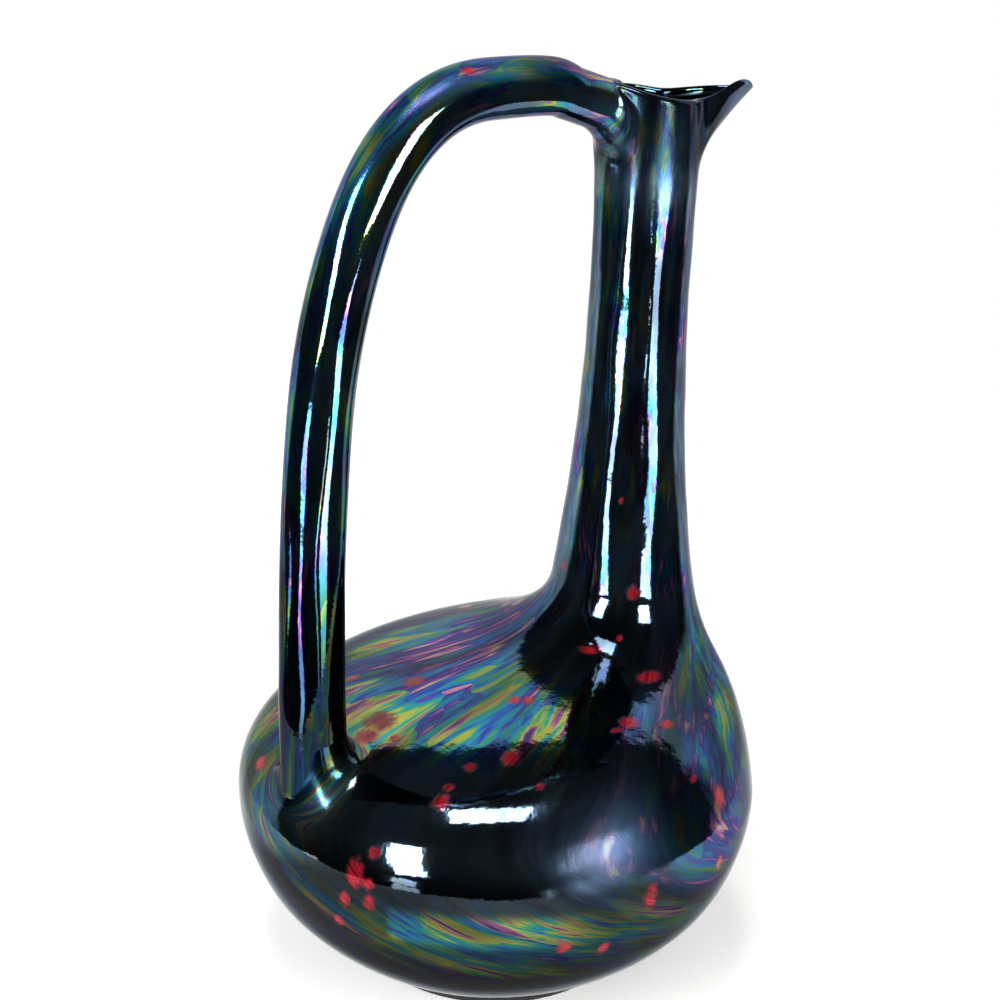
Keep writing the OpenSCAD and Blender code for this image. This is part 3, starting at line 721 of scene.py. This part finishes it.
def lustreGlaze():
    made, tree = startMaterial("lustreGlazedEarthenware")
    s = lustre
    strokes = addNode(tree, "Attribute", {"attribute_name": "brush"}).outputs["Vector"]
    filmWithPaintedLight = addNode(tree, "Attribute", {"attribute_name": "lustre"}).outputs["Fac"]
    tone = addNode(tree, "Attribute", {"attribute_name": "tone"}).outputs["Fac"]
    dab = addNode(tree, "Attribute", {"attribute_name": "dab"}).outputs["Fac"]
    satin = addNode(tree, "Attribute", {"attribute_name": "satin"}).outputs["Fac"]
    place = addNode(tree, "TexCoord").outputs["Object"]
    # Strokes sway by a broad noise, and their edges are feathered by the hairs of the brush
    sway = addNode(tree, "TexNoise", None, {"Vector": strokes, "Scale": 1 / s["swaySize"], "Detail": 2.0})
    pushed = addNode(tree, "VectorMath", {"operation": "MULTIPLY_ADD"},
                     {0: sway.outputs["Color"], 1: (2 * s["sway"],) * 3, 2: strokes}).outputs[0]
    drawn = addNode(tree, "VectorMath", {"operation": "MULTIPLY"},
                    {0: pushed, 1: (1.0, 1.0, s["hairStretch"])}).outputs[0]
    hair = addNode(tree, "TexNoise", None, {"Vector": drawn, "Scale": 1 / s["hairSize"], "Detail": 3.0})
    feathered = addNode(tree, "VectorMath", {"operation": "MULTIPLY_ADD"},
                        {0: hair.outputs["Color"], 1: (2 * s["hair"],) * 3, 2: pushed}).outputs[0]
    # Film thickness in turns through the interference colours: each stroke has its own, and thins to its edge
    big = addNode(tree, "TexVoronoi", None, {"Vector": feathered, "Scale": 1 / s["stroke"]})
    small = addNode(tree, "TexVoronoi", None, {"Vector": feathered, "Scale": 1 / s["smallStroke"]})
    broad = addNode(tree, "TexNoise", None, {"Vector": pushed, "Scale": 1 / s["broadSize"], "Detail": 2.0})
    bigOwn = addNode(tree, "VectorMath", {"operation": "DOT_PRODUCT"},
                     {0: big.outputs["Color"], 1: (s["strokeTurn"], 0.0, 0.0)}).outputs["Value"]
    smallOwn = addNode(tree, "VectorMath", {"operation": "DOT_PRODUCT"},
                       {0: small.outputs["Color"], 1: (s["smallTurn"], 0.0, 0.0)}).outputs["Value"]
    turns = addNode(tree, "Math", {"operation": "MULTIPLY_ADD"},
                    {0: big.outputs["Distance"], 1: s["strokeThin"], 2: bigOwn}).outputs[0]
    turns = addNode(tree, "Math", {"operation": "ADD"}, {0: turns, 1: smallOwn}).outputs[0]
    turns = addNode(tree, "Math", {"operation": "MULTIPLY_ADD"},
                    {0: small.outputs["Distance"], 1: s["smallThin"], 2: turns}).outputs[0]
    turns = addNode(tree, "Math", {"operation": "MULTIPLY_ADD"},
                    {0: broad.outputs["Fac"], 1: s["broadTurn"], 2: turns}).outputs[0]
    hairLow, hairHigh = s["hairRange"]
    drift = addNode(tree, "MapRange", None,
                    {"Value": hair.outputs["Fac"], "From Min": hairLow, "From Max": hairHigh,
                     "To Min": s["drift"][0], "To Max": s["drift"][1]}).outputs["Result"]
    turns = addNode(tree, "Math", {"operation": "ADD"}, {0: turns, 1: drift}).outputs[0]
    phase = addNode(tree, "Math", {"operation": "FRACT"}, {0: turns})
    ramp = addNode(tree, "ValToRGB", None, {"Fac": phase.outputs[0]})
    stops = ramp.color_ramp.elements
    for at, colour in s["film"][1:-1]:
        stops.new(at)
    for stop, (at, colour) in zip(stops, s["film"]):
        stop.position = at
        stop.color = linear(colour)
    # How much film lies here: the amount laid on, which carries painted shade, a painted highlight and a
    # painted reflection, broken into patches and brush lines
    patch = addNode(tree, "TexNoise", None, {"Vector": pushed, "Scale": 1 / s["patchSize"], "Detail": 4.0})
    patchy = addNode(tree, "MapRange", None,
                     {"Value": patch.outputs["Fac"],
                      "From Min": s["patchRange"][0], "From Max": s["patchRange"][1],
                      "To Min": s["patchAmount"][0], "To Max": s["patchAmount"][1]})
    lines = addNode(tree, "MapRange", None,
                    {"Value": hair.outputs["Fac"], "From Min": hairLow, "From Max": hairHigh,
                     "To Min": s["lineAmount"][0], "To Max": s["lineAmount"][1]})
    amount = addNode(tree, "Math", {"operation": "MULTIPLY"},
                     {0: patchy.outputs["Result"], 1: lines.outputs["Result"]}).outputs[0]
    amount = addNode(tree, "Math", {"operation": "MULTIPLY"}, {0: amount, 1: filmWithPaintedLight}).outputs[0]
    # Thin even film is a steel blue
    turned = addNode(tree, "Mix", {"data_type": "RGBA"},
                     {"Factor": tone, "A": linear(s["steel"]), "B": ramp.outputs["Color"]})
    film = addNode(tree, "VectorMath", {"operation": "SCALE"},
                   {0: turned.outputs["Result"], "Scale": amount}).outputs[0]
    # Red dabs with ragged edges and petal-like streaks
    grit = addNode(tree, "TexNoise", None,
                   {"Vector": place, "Scale": 1 / (s["gritSize"] * mm), "Detail": 3.0})
    ragged = addNode(tree, "Math", {"operation": "MULTIPLY_ADD"},
                     {0: grit.outputs["Fac"], 1: s["ragged"], 2: dab}).outputs[0]
    spot = addNode(tree, "MapRange", {"interpolation_type": "SMOOTHSTEP"},
                   {"Value": ragged,
                    "From Min": s["dabEdge"][0], "From Max": s["dabEdge"][1]}).outputs["Result"]
    inDab = addNode(tree, "MapRange", None, {"Value": dab, "From Max": s["dabFade"]}).outputs["Result"]
    spot = addNode(tree, "Math", {"operation": "MULTIPLY"}, {0: spot, 1: inDab}).outputs[0]
    streak = addNode(tree, "MapRange", None,
                     {"Value": hair.outputs["Fac"],
                      "From Min": s["dabStreak"][0], "From Max": s["dabStreak"][1]})
    red = addNode(tree, "Mix", {"data_type": "RGBA"},
                  {"Factor": streak.outputs["Result"], "A": linear(s["redDark"]), "B": linear(s["redLight"])})
    coloured = addNode(tree, "Mix", {"data_type": "RGBA"},
                       {"Factor": spot, "A": film, "B": red.outputs["Result"]})
    # The red is half metal at its core, and a dull film is less than half
    dullFilm = addNode(tree, "Math", {"operation": "MULTIPLY"}, {0: satin, 1: filmWithPaintedLight}).outputs[0]
    metal = addNode(tree, "Math", {"operation": "MULTIPLY_ADD"},
                    {0: dullFilm, 1: s["dullMetal"] - 1, 2: 1.0}).outputs[0]
    core = addNode(tree, "Math", {"operation": "MULTIPLY"}, {0: spot, 1: spot}).outputs[0]
    metal = addNode(tree, "Math", {"operation": "MULTIPLY_ADD", "use_clamp": True},
                    {0: core, 1: s["redMetal"] - 1, 2: metal}).outputs[0]
    # Mirror gloss, duller and grainy in the satin places
    grain = addNode(tree, "TexNoise", None,
                    {"Vector": place, "Scale": 1 / (s["grainSize"] * mm), "Detail": 1.0})
    rough = addNode(tree, "MapRange", None,
                    {"Value": satin, "To Min": s["gloss"], "To Max": s["satin"]}).outputs["Result"]
    # The clear gloss goes with the film, and is missing from the duller places
    clear = addNode(tree, "MapRange", None,
                    {"Value": filmWithPaintedLight, "To Min": s["coat"][0], "To Max": s["coat"][1]}).outputs["Result"]
    bright = addNode(tree, "Math", {"operation": "SUBTRACT"}, {0: 1.0, 1: satin}).outputs[0]
    clear = addNode(tree, "Math", {"operation": "MULTIPLY"}, {0: clear, 1: bright}).outputs[0]
    # Slow ripples of the glaze, raised dabs, and grain in the satin places
    ripple = addNode(tree, "TexNoise", None,
                     {"Vector": place, "Scale": 1 / (s["rippleSize"] * mm), "Detail": 3.0})
    height = addNode(tree, "Math", {"operation": "MULTIPLY_ADD"},
                     {0: spot, 1: s["dabRise"], 2: ripple.outputs["Fac"]}).outputs[0]
    grained = addNode(tree, "Math", {"operation": "MULTIPLY"}, {0: grain.outputs["Fac"], 1: satin}).outputs[0]
    height = addNode(tree, "Math", {"operation": "MULTIPLY_ADD"},
                     {0: grained, 1: s["grainRise"], 2: height}).outputs[0]
    relief = addNode(tree, "Bump", None,
                     {"Strength": s["relief"], "Distance": s["reliefDepth"] * mm, "Height": height})
    shader = addNode(tree, "BsdfPrincipled", None,
                     {"Base Color": coloured.outputs["Result"], "Metallic": metal, "Roughness": rough,
                      "Specular Tint": linear(s["edge"]), "Normal": relief.outputs["Normal"],
                      "Coat Weight": clear, "Coat Roughness": rough, "Coat Normal": relief.outputs["Normal"]})
    addNode(tree, "OutputMaterial", None, {"Surface": shader.outputs[0]})
    return made


# Bare fired clay: turned smooth, dry and matt, with grog that shows as specks. Its outer side is dark and
# shiny.
clay = dict(warm="#b58a64", pale="#c9a684", speck="#7d5a3f", run="#101316", cloudSize=9.0, grit=0.9,
            speckRange=(0.62, 0.72), runFrom=37.4, runBlend=0.8, dry=0.85, shiny=0.12,
            relief=0.4, reliefDepth=0.2)


def bareClay():
    made, tree = startMaterial("turnedBareEarthenware")
    place = addNode(tree, "TexCoord").outputs["Object"]
    cloud = addNode(tree, "TexNoise", None,
                    {"Vector": place, "Scale": 1 / (clay["cloudSize"] * mm), "Detail": 4.0})
    grog = addNode(tree, "TexNoise", None, {"Vector": place, "Scale": 1 / (clay["grit"] * mm), "Detail": 2.0})
    body = addNode(tree, "Mix", {"data_type": "RGBA"},
                   {"Factor": cloud.outputs["Fac"], "A": linear(clay["warm"]), "B": linear(clay["pale"])})
    specks = addNode(tree, "MapRange", None,
                     {"Value": grog.outputs["Fac"],
                      "From Min": clay["speckRange"][0], "From Max": clay["speckRange"][1]})
    coloured = addNode(tree, "Mix", {"data_type": "RGBA"},
                       {"Factor": specks.outputs["Result"], "A": body.outputs["Result"],
                        "B": linear(clay["speck"])})
    fromAxis = addNode(tree, "VectorMath", {"operation": "MULTIPLY"}, {0: place, 1: (1.0, 1.0, 0.0)})
    radius = addNode(tree, "VectorMath", {"operation": "LENGTH"}, {0: fromAxis.outputs[0]})
    run = addNode(tree, "MapRange", None,
                  {"Value": radius.outputs["Value"], "From Min": clay["runFrom"] * mm,
                   "From Max": (clay["runFrom"] + clay["runBlend"]) * mm}).outputs["Result"]
    overrun = addNode(tree, "Mix", {"data_type": "RGBA"},
                      {"Factor": run, "A": coloured.outputs["Result"], "B": linear(clay["run"])})
    rough = addNode(tree, "MapRange", None, {"Value": run, "To Min": clay["dry"], "To Max": clay["shiny"]})
    relief = addNode(tree, "Bump", None,
                     {"Strength": clay["relief"], "Distance": clay["reliefDepth"] * mm,
                      "Height": grog.outputs["Fac"]})
    shader = addNode(tree, "BsdfPrincipled", None,
                     {"Base Color": overrun.outputs["Result"], "Roughness": rough.outputs["Result"],
                      "Normal": relief.outputs["Normal"]})
    addNode(tree, "OutputMaterial", None, {"Surface": shader.outputs[0]})
    return made


glaze, biscuit = lustreGlaze(), bareClay()
print("materials made")

stands = [  # piece, material, slot, nodes that it stands for
    (lowerBowl, glaze, "lustre_glaze", ["lower_bowl"]),
    (shoulderShell, glaze, "lustre_glaze", ["shoulder", "belly_slip"]),
    (neckTube, glaze, "lustre_glaze", ["neck", "neck_slip"]),
    (pouringLip, glaze, "lustre_glaze", ["mouth_lip", "lip_slip"]),
    (loopHandle, glaze, "lustre_glaze",
     ["handle", "handle_foot_slip", "handle_foot_coil", "handle_top_slip", "handle_top_coil"]),
    (footRing, biscuit, "bare_clay", ["foot_ring", "foot_slip"])]
for piece, material, slotName, nodes in stands:
    piece.data.materials.append(material)
    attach(piece, "root")
    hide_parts(*nodes)
print("pieces placed")


# Stage: a pale table top, round in front and straight behind, a bright wall behind it and a dim room in front
stage = dict(front=0.25, behind=0.55, edgeSteps=49, paper="#f4f3f1", paperShade="#ecebe8", shadeSize=400,
             dry=0.9, fill=0.36, wallLight=1.0, wallTop=1.25, wallSlope=0.45, wallEdge=(0.18, 0.36),
             topBlend=0.03, roomLight=0.05, aimHeight=0.11)
viewAzimuth = np.radians(camera["azimuth"])
backWay = np.array([-np.sin(viewAzimuth), np.cos(viewAzimuth), 0.0])
sideWay = np.array([np.cos(viewAzimuth), np.sin(viewAzimuth), 0.0])


def tableTop():
    # White paper; the eye and the glaze see it a little brighter than the lamps make it
    made, tree = startMaterial("matteWhitePaper")
    place = addNode(tree, "TexCoord").outputs["Object"]
    cloud = addNode(tree, "TexNoise", None,
                    {"Vector": place, "Scale": 1 / (stage["shadeSize"] * mm), "Detail": 2.0})
    colour = addNode(tree, "Mix", {"data_type": "RGBA"},
                     {"Factor": cloud.outputs["Fac"], "A": linear(stage["paper"]),
                      "B": linear(stage["paperShade"])})
    ray = addNode(tree, "LightPath").outputs
    seen = addNode(tree, "Math", {"operation": "MAXIMUM"},
                   {0: ray["Is Camera Ray"], 1: ray["Is Glossy Ray"]}).outputs[0]
    seen = addNode(tree, "Math", {"operation": "MAXIMUM"},
                   {0: seen, 1: ray["Is Transmission Ray"]}).outputs[0]
    glow = addNode(tree, "MapRange", None, {"Value": seen, "To Max": stage["fill"]})
    shader = addNode(tree, "BsdfPrincipled", None,
                     {"Base Color": colour.outputs["Result"], "Roughness": stage["dry"],
                      "Emission Color": (1.0, 1.0, 1.0, 1.0), "Emission Strength": glow.outputs["Result"]})
    addNode(tree, "OutputMaterial", None, {"Surface": shader.outputs[0]})
    t = np.linspace(-np.pi / 2, np.pi / 2, stage["edgeSteps"])[:, None]
    outline = np.concatenate([stage["front"] * (np.sin(t) * sideWay - np.cos(t) * backWay),
                              [stage["front"] * s * sideWay + stage["behind"] * backWay for s in (1, -1)]])
    mesh = bpy.data.meshes.new("tableTop")
    mesh.from_pydata(outline.tolist(), [], [tuple(range(len(outline)))])
    mesh.materials.append(made)
    top = bpy.data.objects.new("tableTop", mesh)
    bpy.context.scene.collection.objects.link(top)


def roomLight():
    # Bright toward the wall behind, up to its top edge: up <= wallTop * back + wallSlope * side. Dim to the
    # front and overhead.
    world = bpy.data.worlds.new("studio")
    world.use_nodes = True
    tree = world.node_tree
    tree.nodes.clear()
    way = addNode(tree, "TexCoord").outputs["Generated"]
    toBack = addNode(tree, "VectorMath", {"operation": "DOT_PRODUCT"}, {0: way, 1: backWay.tolist()})
    wide = addNode(tree, "MapRange", {"interpolation_type": "SMOOTHSTEP"},
                   {"Value": toBack.outputs["Value"],
                    "From Min": stage["wallEdge"][0], "From Max": stage["wallEdge"][1]})
    topEdge = stage["wallTop"] * backWay + stage["wallSlope"] * sideWay - [0, 0, 1]
    below = addNode(tree, "VectorMath", {"operation": "DOT_PRODUCT"}, {0: way, 1: topEdge.tolist()})
    under = addNode(tree, "MapRange", {"interpolation_type": "SMOOTHSTEP"},
                    {"Value": below.outputs["Value"],
                     "From Min": -stage["topBlend"], "From Max": stage["topBlend"]})
    lit = addNode(tree, "Math", {"operation": "MULTIPLY"},
                  {0: wide.outputs["Result"], 1: under.outputs["Result"]}).outputs[0]
    ray = addNode(tree, "LightPath").outputs["Is Camera Ray"]
    lit = addNode(tree, "Math", {"operation": "MAXIMUM"}, {0: lit, 1: ray}).outputs[0]
    strength = addNode(tree, "MapRange", None,
                       {"Value": lit, "To Min": stage["roomLight"], "To Max": stage["wallLight"]})
    sky = addNode(tree, "Background", None,
                  {"Color": (1.0, 1.0, 1.0, 1.0), "Strength": strength.outputs["Result"]})
    addNode(tree, "OutputWorld", None, {"Surface": sky.outputs[0]})
    bpy.context.scene.world = world


softBoxes = [  # name, degrees right of the camera, degrees up, metres off, width, height, radiance
    ("topBox", -44, 83, 1.5, 0.50, 0.38, 20.0),
    ("leftWindowUpper", -37, 21, 1.5, 0.34, 1.05, 24.0),
    ("leftWindowLower", -35, -8, 1.5, 0.28, 0.20, 12.0),
    ("leftWindowStrip", -35, -20.2, 1.3, 0.22, 0.33, 12.0),
    ("rightBox", 40, 19, 1.5, 0.42, 0.70, 16.0),
    ("rightLow", 42, -15.6, 1.5, 0.46, 0.58, 9.0),
    ("rightStrip", 22, -18.5, 1.5, 0.09, 0.42, 6.0),
    ("farLeftStrip", -84, -19, 1.5, 0.08, 0.40, 6.0)]


def softBox(name, azimuth, elevation, off, width, height, radiance):
    # A rectangle that faces the ewer, level with the camera; its power is radiance times pi times its area
    a, e = viewAzimuth + np.radians(azimuth), np.radians(elevation)
    way = np.array([np.sin(a) * np.cos(e), -np.cos(a) * np.cos(e), np.sin(e)])
    right = unit(sideWay - (sideWay @ way) * way)
    data = bpy.data.lights.new(name, "AREA")
    data.shape = "RECTANGLE"
    data.size = width
    data.size_y = height
    data.energy = radiance * np.pi * width * height
    lamp = bpy.data.objects.new(name, data)
    turn = Matrix(np.column_stack([right, np.cross(way, right), way]).tolist()).to_4x4()
    lamp.matrix_world = Matrix.Translation((off * way + [0.0, 0.0, stage["aimHeight"]]).tolist()) @ turn
    lamp.visible_camera = False
    bpy.context.scene.collection.objects.link(lamp)


tableTop()
roomLight()
for box in softBoxes:
    softBox(*box)
bpy.context.scene.view_settings.view_transform = "Standard"
print("stage and lights set")
